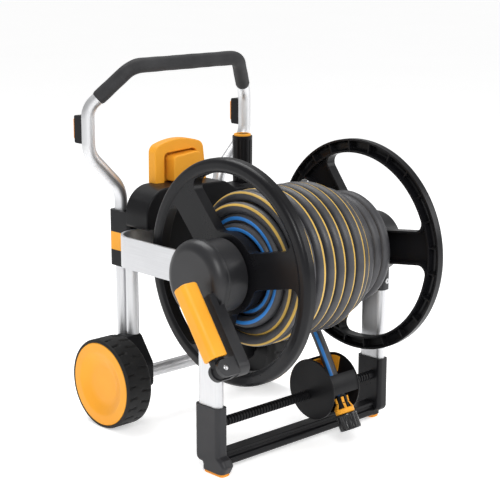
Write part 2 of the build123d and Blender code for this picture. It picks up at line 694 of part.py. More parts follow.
with BuildPart() as rear_cover:
    with BuildSketch(facing_front(HOUSING_BACK_Y)):
        with Locations((0, 290 + WALL)):
            Rectangle(196 - 2 * WALL, SOCKET_TOP - 290 - 2 * WALL, align=(Align.CENTER, Align.MIN))
    extrude(amount=3)
save("rear_cover", rear_cover.part)

with BuildPart() as release_button:
    with BuildSketch(facing_front(BUTTON_BACK_Y)):
        with BuildLine():
            FilletPolyline(
                (BUTTON_LEFT, BUTTON_LOW), (BUTTON_LEFT, 510), (BUTTON_RIGHT - 2, 515.5), (BUTTON_RIGHT, BUTTON_LOW),
                radius=[3, 9, 9, 3], close=True,
            )
        make_face()
    extrude(amount=BUTTON_DEEP)
    fillet(release_button.faces().sort_by(Axis.Y)[0].edges(), radius=2.5)
    with BuildSketch(level(SOCKET_TOP - 9)):
        with Locations((STEM_X, STEM_FRONT_Y)):
            Rectangle(2 * STEM_HALF, STEM_BACK_Y - STEM_FRONT_Y, align=(Align.CENTER, Align.MIN))
    extrude(amount=BUTTON_LOW - SOCKET_TOP + 12)
save("release_button", release_button.part)

# ---------------------------------------------------------------- handle

HANDLE_LOW_Z = 112.0
HANDLE_OUT_X = 198.0
HANDLE_TOP_Y = 298.0
HANDLE_TOP_Z = 684.0
GRIP_SIDE_POINT = (183.0, 338.0, 624.5)
HALF_HANDLE = [
    (-UPRIGHT_X, HANDLE_Y, HANDLE_LOW_Z), (-UPRIGHT_X, HANDLE_Y, 448), (-HANDLE_OUT_X, HANDLE_Y, 521),
    (-HANDLE_OUT_X, HANDLE_Y, 607), (-132, HANDLE_TOP_Y, HANDLE_TOP_Z),
]
HANDLE_PATH = HALF_HANDLE + [(-x, y, z) for x, y, z in reversed(HALF_HANDLE)]
HANDLE_RADII = [55, 45, 40, 40, 40, 40, 45, 55]

with BuildPart() as handle_tube:
    with BuildLine():
        FilletPolyline(*[at(*point) for point in HANDLE_PATH], radius=HANDLE_RADII)
    with BuildSketch(level(HANDLE_LOW_Z)):
        with Locations((-UPRIGHT_X, HANDLE_Y)):
            Circle(TUBE_R)
            Circle(TUBE_R - 1.5, mode=Mode.SUBTRACT)
    sweep()
save("handle_tube", handle_tube.part)

FOAM_R = 14.0
side_x, side_y, side_z = GRIP_SIDE_POINT
FOAM_PATH = [
    (-side_x, side_y, side_z), (-132, HANDLE_TOP_Y, HANDLE_TOP_Z),
    (132, HANDLE_TOP_Y, HANDLE_TOP_Z), (side_x, side_y, side_z),
]
with BuildPart() as handle_foam:
    with BuildLine() as foam_line:
        FilletPolyline(*[at(*point) for point in FOAM_PATH], radius=40)
    with BuildSketch(Plane(origin=foam_line.line @ 0, z_dir=foam_line.line % 0)):
        Circle(FOAM_R)
        Circle(TUBE_R, mode=Mode.SUBTRACT)
    sweep()
save("handle_foam", handle_foam.part)

PAD_LOW_Z = 541.0
PAD_HIGH_Z = 593.0
PAD_BACK_Y = 378.0
with BuildPart() as bumper:
    with BuildSketch(level(PAD_LOW_Z)):
        with Locations((-HANDLE_OUT_X, HANDLE_Y + 4)):
            Rectangle(22, PAD_BACK_Y - HANDLE_Y - 4, align=(Align.CENTER, Align.MIN))
        with Locations((-HANDLE_OUT_X, HANDLE_Y)):
            Circle(TUBE_R + 0.1, mode=Mode.SUBTRACT)
    extrude(amount=PAD_HIGH_Z - PAD_LOW_Z)
    fillet(bumper.edges().filter_by(Axis.X), radius=4)
save_both("handle_bumpers", bumper.part)

with BuildPart() as bumper_face:
    face_middle = at(-HANDLE_OUT_X, PAD_BACK_Y, (PAD_LOW_Z + PAD_HIGH_Z) / 2)
    with BuildSketch(Plane(origin=face_middle, x_dir=(1, 0, 0), z_dir=(0, 1, 0))):
        RectangleRounded(18, PAD_HIGH_Z - PAD_LOW_Z - 10, 5)
    extrude(amount=6)
    fillet(bumper_face.faces().sort_by(Axis.Y)[-1].edges(), radius=2)
save_both("bumper_faces", bumper_face.part)

# ---------------------------------------------------------------- accessory nozzle in its socket

NOZZLE_LOW_Z = SOCKET_TOP + GAP


def nozzle_piece(profile, radii):
    """Turns a closed outline of (radius, z) points about the nozzle's upright axis."""
    centre = Plane(origin=at(NOZZLE_X, NOZZLE_Y, 0), x_dir=(1, 0, 0), z_dir=(0, -1, 0))
    with BuildPart() as turned:
        with BuildSketch(centre):
            with BuildLine():
                FilletPolyline(*profile, radius=radii, close=True)
            make_face()
        revolve(axis=Axis(centre.origin, (0, 0, 1)))
    return turned.part


NOZZLE_R = 20.0
NOZZLE_TOP_Z = 530.0
NOZZLE_BODY = [
    (5, SOCKET_TOP - 26), (9, SOCKET_TOP - 26), (9, NOZZLE_LOW_Z), (NOZZLE_R - 1, NOZZLE_LOW_Z),
    (NOZZLE_R, NOZZLE_TOP_Z), (17.5, NOZZLE_TOP_Z), (17.5, NOZZLE_TOP_Z - 8), (13, NOZZLE_TOP_Z - 8),
    (13, NOZZLE_TOP_Z + 2), (5, NOZZLE_TOP_Z + 2),
]
save("nozzle_body", nozzle_piece(NOZZLE_BODY, [0, 1, 0, 3, 1, 0, 0, 0, 0, 0]))
RING_LOW_Z = NOZZLE_TOP_Z - 8 + GAP
RING_TOP_Z = NOZZLE_TOP_Z + 4
NOZZLE_RING = [(13 + RUNNING, RING_LOW_Z), (17, RING_LOW_Z), (17, RING_TOP_Z), (13 + RUNNING, RING_TOP_Z)]
save("nozzle_ring", nozzle_piece(NOZZLE_RING, [0, 0, 1.5, 0]))

# ---------------------------------------------------------------- water inlet on the right hub

INLET_INNER_X = HOUSING_OUTER_X + 0.5
INLET_OUTER_X = 254.0
INLET_X = 241.0
NIPPLE_R = 8.7
inlet_plane = Plane(origin=at(INLET_X, 0, REEL_Z), x_dir=(1, 0, 0), z_dir=(0, 1, 0))
with BuildPart() as inlet_elbow:
    add(ring(INLET_INNER_X, INLET_OUTER_X, 0, 17, 0, REEL_Z))
    fillet(inlet_elbow.faces().sort_by(Axis.X)[-1].edges(), radius=5)
    add(ring(200, INLET_INNER_X + 2, 0, SHAFT_BORE_R - RUNNING, 0, REEL_Z))
    add(ring(208, 211, 7, SHAFT_BORE_R, 0, REEL_Z), mode=Mode.SUBTRACT)
    with BuildSketch(inlet_plane):
        Circle(12)
    extrude(amount=34)
    with BuildSketch(inlet_plane.offset(34)):
        Circle(NIPPLE_R)
    extrude(amount=24)
    add(ring(199, INLET_X, 0, 5, 0, REEL_Z), mode=Mode.SUBTRACT)
    with BuildSketch(inlet_plane):
        Circle(5)
    extrude(amount=60, mode=Mode.SUBTRACT)
save("inlet_elbow", inlet_elbow.part)
save("inlet_seal", ring(208, 211, 7, SHAFT_BORE_R - RUNNING, 0, REEL_Z))

# ---------------------------------------------------------------- hose guide


def guide_shell(outer, inner, start, end, x_low, x_high):
    """A curved wall of the guide between two angles, counted from the front upwards."""
    reach = 2 * outer
    count = 12
    step = (end - start) / count
    corners = [(0, 0)]
    for i in range(count + 1):
        angle = radians(start + step * i)
        corners.append((reach * cos(angle), reach * sin(angle)))
    with BuildPart() as shell:
        with BuildSketch(facing_side(x_high, GUIDE_Y, GUIDE_Z)):
            Circle(outer)
            Circle(inner, mode=Mode.SUBTRACT)
            with BuildLine():
                Polyline(*corners, close=True)
            make_face(mode=Mode.INTERSECT)
        extrude(amount=x_high - x_low)
    return shell.part


GUIDE_WALL = 3.0
LINER_R = GUIDE_R - 2 - GUIDE_WALL
rod_clearance = ring(0, 110, 0, ROD_R + RUNNING, ROD_Y, ROD_Z)
with BuildPart() as guide_barrel:
    add(ring(GUIDE_LEFT_X, GUIDE_LEFT_X + GUIDE_WALL, 0, GUIDE_R, GUIDE_Y, GUIDE_Z))
    fillet(guide_barrel.faces().sort_by(Axis.X)[0].edges(), radius=1.5)
    add(guide_shell(GUIDE_R - 1, LINER_R, 0, 39, GUIDE_LEFT_X + 1, GUIDE_RIGHT_X - GUIDE_WALL))
    add(guide_shell(GUIDE_R - 1, LINER_R, 108, 288, GUIDE_LEFT_X + 1, GUIDE_RIGHT_X - GUIDE_WALL))
    add(ring(GUIDE_LEFT_X, GUIDE_RIGHT_X - GUIDE_WALL, 0, ROD_R + 4, ROD_Y, ROD_Z))
    add(rod_clearance, mode=Mode.SUBTRACT)
save("guide_barrel", guide_barrel.part)

with BuildPart() as guide_cover:
    add(ring(GUIDE_RIGHT_X - GUIDE_WALL, GUIDE_RIGHT_X, 0, GUIDE_R, GUIDE_Y, GUIDE_Z))
    fillet(guide_cover.faces().sort_by(Axis.X)[-1].edges(), radius=1.5)
    add(rod_clearance, mode=Mode.SUBTRACT)
save("guide_cover", guide_cover.part)

with BuildPart() as guide_liner:
    add(guide_shell(LINER_R, LINER_R - 2.5, 104, 262, GUIDE_LEFT_X + GUIDE_WALL, GUIDE_RIGHT_X - GUIDE_WALL))
    add(guide_shell(LINER_R, LINER_R - 30, 80, 190, GUIDE_RIGHT_X - GUIDE_WALL - 2, GUIDE_RIGHT_X - GUIDE_WALL))
    add(ring(0, 110, 0, ROD_R + 4, ROD_Y, ROD_Z), mode=Mode.SUBTRACT)
save("guide_liner", guide_liner.part)

# the hose from the coil to its connector: straight runs joined by the largest arcs they allow
HOSE_ROUTE = [
    (68, 28, 215.5), (63.5, 2, 185), (58.5, -21, 157), (55, -42, 127), (55.5, -60, 91),
]


def corner_radii(route):
    """The arc radius at each inner corner: 0.45 of the shorter run over the tangent of half the turn."""
    found = []
    for i in range(1, len(route) - 1):
        before = Vector(*route[i]) - Vector(*route[i - 1])
        after = Vector(*route[i + 1]) - Vector(*route[i])
        half_turn = radians(before.get_angle(after)) / 2
        found.append(0.45 * min(before.length, after.length) / tan(half_turn))
    return found


hose_radii = corner_radii(HOSE_ROUTE)
with BuildPart() as hose_run:
    with BuildLine() as hose_line:
        FilletPolyline(*[at(*point) for point in HOSE_ROUTE], radius=hose_radii)
    with BuildSketch(Plane(origin=hose_line.line @ 0, z_dir=hose_line.line % 0)):
        Circle(HOSE_R)
    sweep()
save("hose_run", hose_run.part)
hose_length = hose_line.wire().length
print("hose run radii", [round(r) for r in hose_radii], "length", round(hose_length, 1))
print("hose run volume ratio", round(hose_run.part.volume / (pi * HOSE_R**2 * hose_length), 4))

connector_axis = tuple(hose_line.line % 1)
connector_start = hose_line.line @ 1


def connector_plane(distance):
    """A plane across the connector, a distance beyond the end of the hose."""
    origin = connector_start + Vector(*connector_axis) * distance
    return Plane(origin=origin, x_dir=(1, 0, 0), z_dir=connector_axis)


MOUTH_R = 9.0
MOUTH_DEEP = 26.0
NUT_LONG = 23.0
SLEEVE_START = 33.0
SLEEVE_END = 64.0
SLEEVE_R = 20.5
with BuildPart() as connector_nut:
    with BuildSketch(connector_plane(0)):
        Circle(12)
        with PolarLocations(12, 12):
            Rectangle(3.6, 3.4)
    extrude(amount=NUT_LONG)
save("connector_nut", connector_nut.part)

with BuildPart() as connector_ring:
    with BuildSketch(connector_plane(NUT_LONG)):
        Circle(18)
    extrude(amount=SLEEVE_START - NUT_LONG)
    fillet(connector_ring.edges(), radius=2)
save("connector_ring", connector_ring.part)

with BuildPart() as connector_sleeve:
    with BuildSketch(connector_plane(SLEEVE_START)):
        Circle(SLEEVE_R)
    extrude(amount=SLEEVE_END - SLEEVE_START)
    fillet(connector_sleeve.edges(), radius=1.5)
    with BuildSketch(connector_plane(SLEEVE_END)):
        Circle(MOUTH_R)
    extrude(amount=-MOUTH_DEEP, mode=Mode.SUBTRACT)
save("connector_sleeve", connector_sleeve.part)
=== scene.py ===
import bmesh
import bpy
import json
from math import atan2, ceil, cos, pi, radians, sin
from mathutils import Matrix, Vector


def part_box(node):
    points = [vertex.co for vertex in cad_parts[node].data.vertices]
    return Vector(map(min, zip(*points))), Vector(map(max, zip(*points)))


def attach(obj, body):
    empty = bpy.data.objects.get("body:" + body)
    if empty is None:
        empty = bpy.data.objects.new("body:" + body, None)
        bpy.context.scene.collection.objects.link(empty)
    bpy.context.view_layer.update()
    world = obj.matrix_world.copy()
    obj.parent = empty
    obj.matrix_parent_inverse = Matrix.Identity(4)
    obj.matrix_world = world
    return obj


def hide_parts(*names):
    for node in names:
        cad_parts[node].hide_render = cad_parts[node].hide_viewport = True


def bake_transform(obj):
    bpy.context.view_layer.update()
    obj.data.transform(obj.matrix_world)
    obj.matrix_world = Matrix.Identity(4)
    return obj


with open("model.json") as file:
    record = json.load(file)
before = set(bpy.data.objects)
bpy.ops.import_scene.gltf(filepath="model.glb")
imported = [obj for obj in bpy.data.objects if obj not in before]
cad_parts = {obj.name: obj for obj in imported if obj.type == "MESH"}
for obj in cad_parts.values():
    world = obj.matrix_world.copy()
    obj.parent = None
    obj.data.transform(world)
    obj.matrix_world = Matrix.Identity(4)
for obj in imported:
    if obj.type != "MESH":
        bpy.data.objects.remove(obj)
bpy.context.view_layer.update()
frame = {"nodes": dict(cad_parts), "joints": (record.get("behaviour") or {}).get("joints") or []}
nodes = frame["nodes"]

# The reel's axis at the cart's middle plane. Lengths below are millimetres from there and from the floor.
MM = 1000
reel_joint = next(j for j in frame["joints"] if j["name"] == "reel_spin")
AXIS_X, AXIS_Y, REEL_HEIGHT = reel_joint["pos_m"]
REEL_Z = REEL_HEIGHT * MM


def at(x, y, z):
    """A point in metres, from the middle plane, the reel's axis and the floor in millimetres."""
    return Vector((AXIS_X + x / MM, AXIS_Y + y / MM, z / MM))


# ---------------------------------------------------------------- camera

CAMERA_AZIMUTH = radians(-43.30)
CAMERA_ELEVATION = radians(12.917)
camera_data = bpy.data.cameras.new("camera")
camera_data.lens = 100.0
camera_data.sensor_width = 36.0
camera = bpy.data.objects.new("camera", camera_data)
camera.location = at(-1734.7, -1718.4, 925.35)
backwards = Vector((
    sin(CAMERA_AZIMUTH) * cos(CAMERA_ELEVATION),
    -cos(CAMERA_AZIMUTH) * cos(CAMERA_ELEVATION),
    sin(CAMERA_ELEVATION),
))
camera.rotation_euler = (-backwards).to_track_quat("-Z", "Y").to_euler()
bpy.context.scene.collection.objects.link(camera)
bpy.context.scene.camera = camera

# ---------------------------------------------------------------- materials


def new_material(name):
    """A material with its node tree, its shader and texture coordinates in metres."""
    made = bpy.data.materials.new(name)
    made.use_nodes = True
    tree = made.node_tree
    shader = tree.nodes["Principled BSDF"]
    place = tree.nodes.new("ShaderNodeTexCoord").outputs["Object"]
    return made, tree, shader, place


def stretched(tree, place, scale):
    """Texture coordinates stretched by a scale along each axis."""
    node = tree.nodes.new("ShaderNodeMapping")
    node.inputs["Scale"].default_value = scale
    tree.links.new(place, node.inputs["Vector"])
    return node.outputs["Vector"]


def noise(tree, place, scale, detail=2.0, rough=0.5):
    node = tree.nodes.new("ShaderNodeTexNoise")
    node.inputs["Scale"].default_value = scale
    node.inputs["Detail"].default_value = detail
    node.inputs["Roughness"].default_value = rough
    tree.links.new(place, node.inputs["Vector"])
    return node.outputs["Fac"]


def remap(tree, value, low, high, out_low, out_high):
    """A value's span from low to high brought to another span, clamped."""
    node = tree.nodes.new("ShaderNodeMapRange")
    node.inputs["From Min"].default_value = low
    node.inputs["From Max"].default_value = high
    node.inputs["To Min"].default_value = out_low
    node.inputs["To Max"].default_value = out_high
    tree.links.new(value, node.inputs["Value"])
    return node.outputs["Result"]


def calculate(tree, operation, first, second):
    node = tree.nodes.new("ShaderNodeMath")
    node.operation = operation
    for socket, value in zip(node.inputs, (first, second)):
        if isinstance(value, float):
            socket.default_value = value
        else:
            tree.links.new(value, socket)
    return node.outputs["Value"]


def mix_colours(tree, share, first, second):
    node = tree.nodes.new("ShaderNodeMix")
    node.data_type = "RGBA"
    tree.links.new(share, node.inputs["Factor"])
    for socket, value in ((node.inputs["A"], first), (node.inputs["B"], second)):
        if isinstance(value, tuple):
            socket.default_value = (*value, 1.0)
        else:
            tree.links.new(value, socket)
    return node.outputs["Result"]


def edge_share(tree, radius, spots):
    """How near a sharp edge a point is, broken up by a noise, from 0 to 1."""
    bevel = tree.nodes.new("ShaderNodeBevel")
    bevel.samples = 4
    bevel.inputs["Radius"].default_value = radius
    geometry = tree.nodes.new("ShaderNodeNewGeometry")
    dot = tree.nodes.new("ShaderNodeVectorMath")
    dot.operation = "DOT_PRODUCT"
    tree.links.new(bevel.outputs["Normal"], dot.inputs[0])
    tree.links.new(geometry.outputs["Normal"], dot.inputs[1])
    near = remap(tree, dot.outputs["Value"], 0.97, 0.8, 0.0, 1.0)
    return calculate(tree, "MULTIPLY", near, spots)


def relief(tree, shader, height, strength, distance, rounding):
    """Bump from a height, over a normal that softens sharp edges."""
    bump = tree.nodes.new("ShaderNodeBump")
    bump.inputs["Strength"].default_value = strength
    bump.inputs["Distance"].default_value = distance
    tree.links.new(height, bump.inputs["Height"])
    if rounding:
        bevel = tree.nodes.new("ShaderNodeBevel")
        bevel.samples = 4
        bevel.inputs["Radius"].default_value = rounding
        tree.links.new(bevel.outputs["Normal"], bump.inputs["Normal"])
    tree.links.new(bump.outputs["Normal"], shader.inputs["Normal"])


def moulded(name, dark, light, worn, rough, grain, depth, broad=7.0, wear=0.35, specular=0.5, coat=0.0):
    """Moulded plastic or rubber: broad tone changes, a fine surface texture and paler worn edges."""
    made, tree, shader, place = new_material(name)
    tone = remap(tree, noise(tree, place, broad, 4.0), 0.3, 0.7, 0.0, 1.0)
    colour = mix_colours(tree, tone, dark, light)
    scuffs = remap(tree, noise(tree, place, 60.0, 5.0, 0.7), 0.45, 0.75, 0.0, wear)
    colour = mix_colours(tree, edge_share(tree, 0.0014, scuffs), colour, worn)
    tree.links.new(colour, shader.inputs["Base Color"])
    smudges = noise(tree, place, 23.0, 5.0, 0.6)
    tree.links.new(remap(tree, smudges, 0.3, 0.7, rough[0], rough[1]), shader.inputs["Roughness"])
    relief(tree, shader, noise(tree, place, grain, 2.0, 0.6), depth, 0.0002, 0.0007)
    shader.inputs["Specular IOR Level"].default_value = specular
    shader.inputs["Coat Weight"].default_value = coat
    shader.inputs["Coat Roughness"].default_value = 0.3
    return made


def metal(name, dark, light, rough, stretch, depth, rounding=0.0005):
    """Bare metal with fine drawn or brushed lines, long where the stretch is small."""
    made, tree, shader, place = new_material(name)
    lines = noise(tree, stretched(tree, place, stretch), 1.0, 3.0, 0.6)
    patches = noise(tree, place, 11.0, 4.0)
    tone = remap(tree, calculate(tree, "ADD", lines, patches), 0.75, 1.25, 0.0, 1.0)
    colour = mix_colours(tree, tone, dark, light)
    scuffs = remap(tree, noise(tree, place, 90.0, 5.0, 0.7), 0.5, 0.8, 0.0, 0.3)
    colour = mix_colours(tree, edge_share(tree, 0.0012, scuffs), colour, (0.9, 0.9, 0.9))
    tree.links.new(colour, shader.inputs["Base Color"])
    shader.inputs["Metallic"].default_value = 1.0
    tree.links.new(remap(tree, patches, 0.3, 0.7, rough[0], rough[1]), shader.inputs["Roughness"])
    relief(tree, shader, lines, depth, 0.0001, rounding)
    return made


YELLOW_U = 0.25
BLUE_U = 0.75
YELLOW_SHARE = 0.075
BLUE_SHARE = 0.1


HOSE_RIBS = 40
STRIPE_BLUR = 0.006


def hose_material():
    """Grey hose with fine lengthwise ribs, a yellow and a blue stripe from its UVs, and a dusty sheen."""
    made, tree, shader, place = new_material("hose_skin")
    uv = tree.nodes.new("ShaderNodeUVMap")
    uv.uv_map = "hose"
    parts = tree.nodes.new("ShaderNodeSeparateXYZ")
    tree.links.new(uv.outputs["UV"], parts.inputs["Vector"])
    around = parts.outputs["X"]
    tone = remap(tree, noise(tree, place, 35.0, 4.0), 0.3, 0.7, 0.0, 1.0)
    colour = mix_colours(tree, tone, (0.036, 0.036, 0.04), (0.056, 0.056, 0.061))
    for middle, share, shade in (
        (YELLOW_U, YELLOW_SHARE, (0.68, 0.43, 0.075)),
        (BLUE_U, BLUE_SHARE, (0.03, 0.24, 0.7)),
    ):
        aside = calculate(tree, "ABSOLUTE", calculate(tree, "SUBTRACT", around, middle), 0.0)
        inside = remap(tree, aside, share / 2 + STRIPE_BLUR, share / 2 - STRIPE_BLUR, 0.0, 1.0)
        faded = calculate(tree, "MULTIPLY", inside, remap(tree, tone, 0.0, 1.0, 0.86, 1.0))
        colour = mix_colours(tree, faded, colour, shade)
    tree.links.new(colour, shader.inputs["Base Color"])
    dust = noise(tree, place, 18.0, 5.0, 0.6)
    tree.links.new(remap(tree, dust, 0.3, 0.7, 0.36, 0.52), shader.inputs["Roughness"])
    ribs = calculate(tree, "SINE", calculate(tree, "MULTIPLY", around, 2 * pi * HOSE_RIBS), 0.0)
    grain = calculate(tree, "MULTIPLY", noise(tree, place, 700.0, 2.0), 0.7)
    surface = calculate(tree, "ADD", calculate(tree, "MULTIPLY", ribs, 0.5), grain)
    relief(tree, shader, surface, 0.35, 0.00025, 0.0)
    return made


BLACK = moulded("black_moulded", (0.0045, 0.0045, 0.0055), (0.0085, 0.0085, 0.0095), (0.045, 0.045, 0.048),
                (0.3, 0.44), 1300.0, 0.3, specular=0.15)
FLANGE_BLACK = moulded("flange_moulded", (0.005, 0.005, 0.006), (0.009, 0.009, 0.0105), (0.05, 0.05, 0.053),
                       (0.26, 0.36), 1500.0, 0.2, specular=0.2)
HUB_BLACK = moulded("hub_moulded", (0.012, 0.012, 0.0135), (0.018, 0.018, 0.02), (0.07, 0.07, 0.073),
                    (0.32, 0.42), 1500.0, 0.22, specular=0.38)
GLOSS = moulded("glossy_black_moulded", (0.005, 0.005, 0.006), (0.009, 0.009, 0.01), (0.05, 0.05, 0.053),
                (0.16, 0.24), 1500.0, 0.12, specular=0.5)
# the left leg boot's paler grey is painted light: it is the same black boot as the right one, drawn lighter
# for its side face that takes the light
LIT_BOOT_GREY = moulded("left_boot_painted_light_grey", (0.02, 0.02, 0.0225), (0.029, 0.029, 0.032), (0.09, 0.09, 0.094),
                (0.4, 0.52), 1500.0, 0.25, specular=0.3)
ORANGE = moulded("orange_moulded", (0.8, 0.335, 0.022), (0.88, 0.385, 0.03), (0.95, 0.6, 0.2),
                 (0.36, 0.5), 1100.0, 0.22, wear=0.4, specular=0.25)
ORANGE_SOFT = moulded("orange_soft_rubber", (0.76, 0.27, 0.018), (0.84, 0.33, 0.025), (0.62, 0.3, 0.09),
                      (0.55, 0.72), 700.0, 0.45, wear=0.5, specular=0.35)
FOAM = moulded("foam_skin", (0.015, 0.015, 0.016), (0.028, 0.028, 0.03), (0.06, 0.06, 0.06),
               (0.6, 0.78), 620.0, 0.9, broad=22.0, specular=0.35)
TYRE = moulded("tyre_rubber", (0.007, 0.007, 0.0075), (0.013, 0.013, 0.013), (0.06, 0.058, 0.055),
               (0.5, 0.68), 900.0, 0.5, broad=14.0, wear=0.5, specular=0.25)
SEAL = moulded("seal_rubber_skin", (0.012, 0.012, 0.012), (0.02, 0.02, 0.02), (0.05, 0.05, 0.05),
               (0.45, 0.6), 800.0, 0.3)
BUSH = moulded("bush_moulded", (0.4, 0.4, 0.38), (0.5, 0.5, 0.47), (0.6, 0.6, 0.58),
               (0.35, 0.5), 900.0, 0.2)
TUBE = metal("anodised_tube", (0.6, 0.605, 0.62), (0.7, 0.705, 0.715),
             (0.4, 0.5), (900.0, 900.0, 12.0), 0.12)
STRIP = metal("anodised_strip", (0.58, 0.585, 0.6), (0.67, 0.675, 0.69),
              (0.42, 0.52), (900.0, 14.0, 1100.0), 0.12)
STEEL = metal("zinc_steel", (0.4, 0.4, 0.41), (0.62, 0.62, 0.63),
              (0.24, 0.4), (60.0, 700.0, 700.0), 0.25)
HOSE = hose_material()

LOOKS = {
    BLACK: [
        "crossbar", "lower_clamps", "upper_clamps", "axle_brackets", "rear_housing", "rear_cover",
        "reel_drum", "wheel_core_left", "wheel_core_right", "handle_bumpers", "guide_barrel", "guide_cover",
        "inlet_elbow", "nozzle_body", "grip_knuckle", "drum_fitting", "connector_nut", "connector_sleeve",
        "guide_rod", "grip_cap",
    ],
    FLANGE_BLACK: ["reel_flange_left", "reel_flange_right", "leg_boot_right"],
    HUB_BLACK: ["crank_arm", "hub_housing_left", "hub_housing_right"],
    # the left boot's grey is painted light on its lit side; the right boot keeps the boot's own black
    LIT_BOOT_GREY: ["leg_boot_left"],
    ORANGE: [
        "clamp_bands", "arch_grip", "release_button", "crank_grip", "wheel_disc_left", "wheel_disc_right",
        "guide_liner", "connector_ring", "nozzle_ring",
    ],
    ORANGE_SOFT: ["foot_soles", "bumper_faces"],
    FOAM: ["handle_foam"],
    TYRE: ["tyre_left", "tyre_right"],
    SEAL: ["inlet_seal"],
    BUSH: ["hub_bushes"],
    TUBE: ["front_leg_left", "front_leg_right", "upright_tubes", "handle_tube"],
    STRIP: ["side_arm_left", "side_arm_right"],
    STEEL: [
        "leg_screws", "axle_tube", "wheel_axle", "axle_washers", "grip_hinge_pin", "lock_pin_left",
        "lock_pin_right", "reel_shaft",
    ],
    HOSE: ["hose_coil", "hose_run"],
}
for look, names in LOOKS.items():
    for name in names:
        nodes[name].data.materials.clear()
        nodes[name].data.materials.append(look)

# ---------------------------------------------------------------- mesh making


SHARP_FROM = radians(38)


def piece(name, points, faces, look, body, uvs=None):
    """A smooth-shaded mesh object from points in metres, riding on a body."""
    mesh = bpy.data.meshes.new(name)
    mesh.from_pydata([tuple(p) for p in points], [], faces)
    mesh.materials.append(look)
    if uvs:
        layer = mesh.uv_layers.new(name="hose")
        for loop, place in zip(layer.data, (uv for face in uvs for uv in face)):
            loop.uv = place
    shell = bmesh.new()
    shell.from_mesh(mesh)
    bmesh.ops.recalc_face_normals(shell, faces=shell.faces)
    shell.to_mesh(mesh)
    shell.free()
    mesh.shade_smooth()
    mesh.set_sharp_from_angle(angle=SHARP_FROM)
    made = bpy.data.objects.new(name, mesh)
    bpy.context.scene.collection.objects.link(made)
    if body:
        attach(made, body)
    return made


def bridge(rings, around):
    """Quads between successive rings of points that follow one another in the list."""
    faces = []
    for i in range(rings - 1):
        for j in range(around):
            k = (j + 1) % around
            faces.append((i * around + j, i * around + k, (i + 1) * around + k, (i + 1) * around + j))
    return faces


def frames_along(path, outwards):
    """Each point of a path, with two unit directions across the path: outwards and sideways."""
    found = []
    for i, point in enumerate(path):
        ahead = path[min(i + 1, len(path) - 1)] - path[max(i - 1, 0)]
        tangent = ahead.normalized()
        out = outwards[i] - tangent * outwards[i].dot(tangent)
        out.normalize()
        found.append((point, out, tangent.cross(out)))
    return found


HOSE_AROUND = 20


def hose_tube(name, path, outwards, stripe_angles, radius, body):
    """A closed hose tube whose yellow stripe lies at a given angle from the outward direction."""
    around = HOSE_AROUND
    points = []
    for (point, out, side), angle in zip(frames_along(path, outwards), stripe_angles):
        for j in range(around):
            turn = angle + 2 * pi * (j / around - YELLOW_U)
            points.append(point + (out * cos(turn) + side * sin(turn)) * radius)
    run = [0.0]
    for i in range(1, len(path)):
        run.append(run[-1] + (path[i] - path[i - 1]).length)
    faces = bridge(len(path), around)
    uvs = []
    for i in range(len(path) - 1):
        for j in range(around):
            low, high = j / around, (j + 1) / around
            uvs.append(((low, run[i]), (high, run[i]), (high, run[i + 1]), (low, run[i + 1])))
    start = tuple(reversed(range(around)))
    end = tuple(range(len(points) - around, len(points)))
    for cap in (start, end):
        faces.append(cap)
        uvs.append(((0.5, 0.0),) * around)
    return piece(name, points, faces, HOSE, body, uvs)


def nurbs_path(name, control, resolution):
    """Points along one open NURBS spline through the middle of its control points."""
    curve = bpy.data.curves.new(name, "CURVE")
    curve.dimensions = "3D"
    curve.resolution_u = resolution
    spline = curve.splines.new("NURBS")
    spline.points.add(len(control) - 1)
    for point, place in zip(spline.points, control):
        point.co = (*place, 1.0)
    spline.order_u = 3
    spline.use_endpoint_u = True
    holder = bpy.data.objects.new(name, curve)
    line = bpy.data.meshes.new_from_object(holder)
    path = [v.co.copy() for v in line.vertices]
    bpy.data.meshes.remove(line)
    bpy.data.objects.remove(holder)
    return path


def along_table(table, t):
    """Values at t from rows that start with t, in even steps between rows."""
    for low, high in zip(table, table[1:]):
        if t <= high[0]:
            share = max(0.0, (t - low[0]) / (high[0] - low[0]))
            return [a + (b - a) * share for a, b in zip(low[1:], high[1:])]
    return list(table[-1][1:])


def turned(name, centre, axis, zero, profile, look, body, around=48, relief_at=None, ring=False):
    """Turns (along, radius) pairs in millimetres about an axis.

    relief_at changes a radius by angle. A ring's profile closes on itself; otherwise its ends are capped.
    """
    axis = Vector(axis).normalized()
    out = (Vector(zero) - axis * Vector(zero).dot(axis)).normalized()
    side = axis.cross(out)
    points = []
    for along, radius in profile:
        for j in range(around):
            turn = 2 * pi * j / around
            reach = radius + (relief_at(along, turn) if relief_at else 0.0)
            points.append(centre + (axis * along + (out * cos(turn) + side * sin(turn)) * reach) / MM)
    faces = bridge(len(profile), around)
    last = (len(profile) - 1) * around
    if ring:
        for j in range(around):
            k = (j + 1) % around
            faces.append((last + j, last + k, k, j))
    else:
        faces.append(tuple(reversed(range(around))))
        faces.append(tuple(range(last, last + around)))
    return piece(name, points, faces, look, body)


# ---------------------------------------------------------------- the wound hose

HOSE_DIAMETER = 0.020
POINTS_PER_TURN = 16
LEAVES_COIL = (78.0, 83.0, 279.0)
LEAVING_DIRECTION = Vector((-0.12, -0.65, -0.75)).normalized()
LEAVING_STRAIGHT = 0.021

# turns wound so far, distance along the axis, radius: four layers with steep steps on the hidden side
WINDING = [
    (0.0, 134, 73.5), (12.6, -137, 73.5), (13.0, -137, 91.5), (24.9, 105, 91.5), (26.6, 137, 97),
    (27.0, 40, 112), (27.4, 31, 109.5), (34.64, -133, 109.5), (35.0, -126, 127.5), (41.3, 30, 127.5),
    (42.1, 47, 119), (43.0, 64, 113), (43.8636, 78, 109.9),
]
